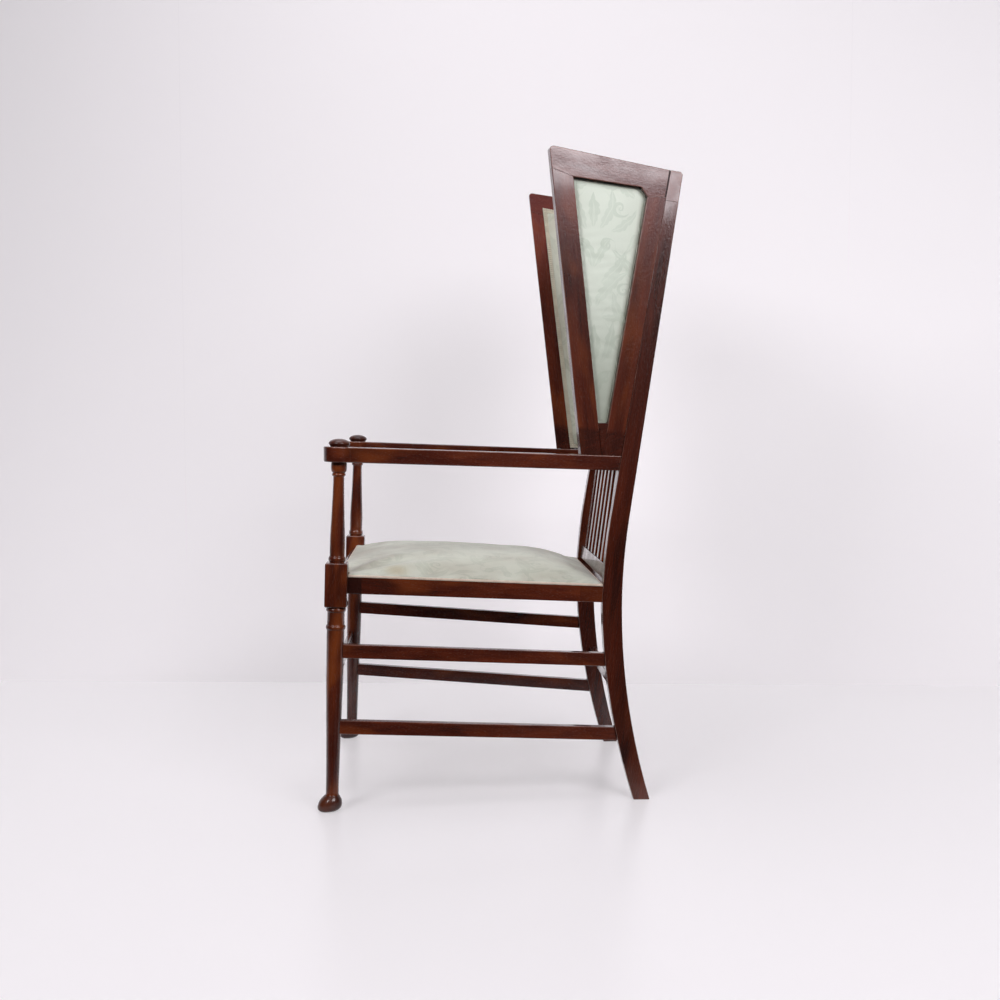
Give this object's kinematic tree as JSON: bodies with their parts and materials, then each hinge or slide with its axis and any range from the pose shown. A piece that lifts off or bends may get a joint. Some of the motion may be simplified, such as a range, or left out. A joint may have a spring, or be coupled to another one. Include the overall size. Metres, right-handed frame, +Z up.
{
  "type": "high back armchair",
  "caption": "High back armchair with turned front legs, sabre rear legs, open arms, flat spindles, a stuffed seat and an upholstered back between two framed wings.",
  "frame": {"origin": "on the floor under the middle of the outline", "axes": "+Z up, the sitter faces -Y, +X is the sitter's left"},
  "size_m": [0.6326, 0.6952, 1.2503],
  "materials": {
    "arm_cap_left": "french polished mahogany, satin to gloss",
    "arm_cap_right": "french polished mahogany, satin to gloss",
    "arm_left": "french polished mahogany, satin to gloss",
    "arm_right": "french polished mahogany, satin to gloss",
    "back_gimp": "woven ribbed braid, cream",
    "back_low_rail": "french polished mahogany, satin to gloss",
    "back_mid_rail": "french polished mahogany, satin to gloss",
    "back_outer_panel": "silk damask, pale sage green, tone on tone",
    "back_pad": "silk damask, pale sage green, tone on tone",
    "back_spindle_1": "french polished mahogany, satin to gloss",
    "back_spindle_2": "french polished mahogany, satin to gloss",
    "back_spindle_3": "french polished mahogany, satin to gloss",
    "back_spindle_4": "french polished mahogany, satin to gloss",
    "back_spindle_5": "french polished mahogany, satin to gloss",
    "back_spindle_6": "french polished mahogany, satin to gloss",
    "back_spindle_7": "french polished mahogany, satin to gloss",
    "corner_brace_front_left": "french polished mahogany, satin to gloss",
    "corner_brace_front_right": "french polished mahogany, satin to gloss",
    "corner_brace_rear_left": "french polished mahogany, satin to gloss",
    "corner_brace_rear_right": "french polished mahogany, satin to gloss",
    "crest_rail": "french polished mahogany, satin to gloss",
    "front_post_left": "french polished mahogany, satin to gloss",
    "front_post_right": "french polished mahogany, satin to gloss",
    "front_stretcher": "french polished mahogany, satin to gloss",
    "rear_post_left": "french polished mahogany, satin to gloss",
    "rear_post_right": "french polished mahogany, satin to gloss",
    "rear_stretcher": "french polished mahogany, satin to gloss",
    "seat_gimp": "woven ribbed braid, cream",
    "seat_pad": "silk damask, pale sage green, tone on tone",
    "seat_rail_front": "french polished mahogany, satin to gloss",
    "seat_rail_left": "french polished mahogany, satin to gloss",
    "seat_rail_rear": "french polished mahogany, satin to gloss",
    "seat_rail_right": "french polished mahogany, satin to gloss",
    "seat_webbing": "plain woven jute",
    "side_stretcher_lower_left": "french polished mahogany, satin to gloss",
    "side_stretcher_lower_right": "french polished mahogany, satin to gloss",
    "side_stretcher_upper_left": "french polished mahogany, satin to gloss",
    "side_stretcher_upper_right": "french polished mahogany, satin to gloss",
    "wing_bottom_wedge_left": "french polished mahogany, satin to gloss",
    "wing_bottom_wedge_right": "french polished mahogany, satin to gloss",
    "wing_front_stile_left": "french polished mahogany, satin to gloss",
    "wing_front_stile_right": "french polished mahogany, satin to gloss",
    "wing_inner_gimp_left": "woven ribbed braid, cream",
    "wing_inner_gimp_right": "woven ribbed braid, cream",
    "wing_inner_pad_left": "silk damask, pale sage green, tone on tone",
    "wing_inner_pad_right": "silk damask, pale sage green, tone on tone",
    "wing_outer_panel_left": "silk damask, pale sage green, tone on tone",
    "wing_outer_panel_right": "silk damask, pale sage green, tone on tone",
    "wing_rear_stile_left": "french polished mahogany, satin to gloss",
    "wing_rear_stile_right": "french polished mahogany, satin to gloss",
    "wing_top_rail_left": "french polished mahogany, satin to gloss",
    "wing_top_rail_right": "french polished mahogany, satin to gloss"
  },
  "bodies": {
    "root": {"arm_cap_left": "arm_cap_left", "arm_cap_right": "arm_cap_right", "arm_left": "arm_left", "arm_right": "arm_right", "back_gimp": "back_gimp", "back_low_rail": "back_low_rail", "back_mid_rail": "back_mid_rail", "back_outer_panel": "back_outer_panel", "back_pad": "back_pad", "back_spindle_1": "back_spindle_1", "back_spindle_2": "back_spindle_2", "back_spindle_3": "back_spindle_3", "back_spindle_4": "back_spindle_4", "back_spindle_5": "back_spindle_5", "back_spindle_6": "back_spindle_6", "back_spindle_7": "back_spindle_7", "corner_brace_front_left": "corner_brace_front_left", "corner_brace_front_right": "corner_brace_front_right", "corner_brace_rear_left": "corner_brace_rear_left", "corner_brace_rear_right": "corner_brace_rear_right", "crest_rail": "crest_rail", "front_post_left": "front_post_left", "front_post_right": "front_post_right", "front_stretcher": "front_stretcher", "rear_post_left": "rear_post_left", "rear_post_right": "rear_post_right", "rear_stretcher": "rear_stretcher", "seat_gimp": "seat_gimp", "seat_pad": "seat_pad", "seat_rail_front": "seat_rail_front", "seat_rail_left": "seat_rail_left", "seat_rail_rear": "seat_rail_rear", "seat_rail_right": "seat_rail_right", "seat_webbing": "seat_webbing", "side_stretcher_lower_left": "side_stretcher_lower_left", "side_stretcher_lower_right": "side_stretcher_lower_right", "side_stretcher_upper_left": "side_stretcher_upper_left", "side_stretcher_upper_right": "side_stretcher_upper_right", "wing_bottom_wedge_left": "wing_bottom_wedge_left", "wing_bottom_wedge_right": "wing_bottom_wedge_right", "wing_front_stile_left": "wing_front_stile_left", "wing_front_stile_right": "wing_front_stile_right", "wing_inner_gimp_left": "wing_inner_gimp_left", "wing_inner_gimp_right": "wing_inner_gimp_right", "wing_inner_pad_left": "wing_inner_pad_left", "wing_inner_pad_right": "wing_inner_pad_right", "wing_outer_panel_left": "wing_outer_panel_left", "wing_outer_panel_right": "wing_outer_panel_right", "wing_rear_stile_left": "wing_rear_stile_left", "wing_rear_stile_right": "wing_rear_stile_right", "wing_top_rail_left": "wing_top_rail_left", "wing_top_rail_right": "wing_top_rail_right"}
  },
  "joints": []
}
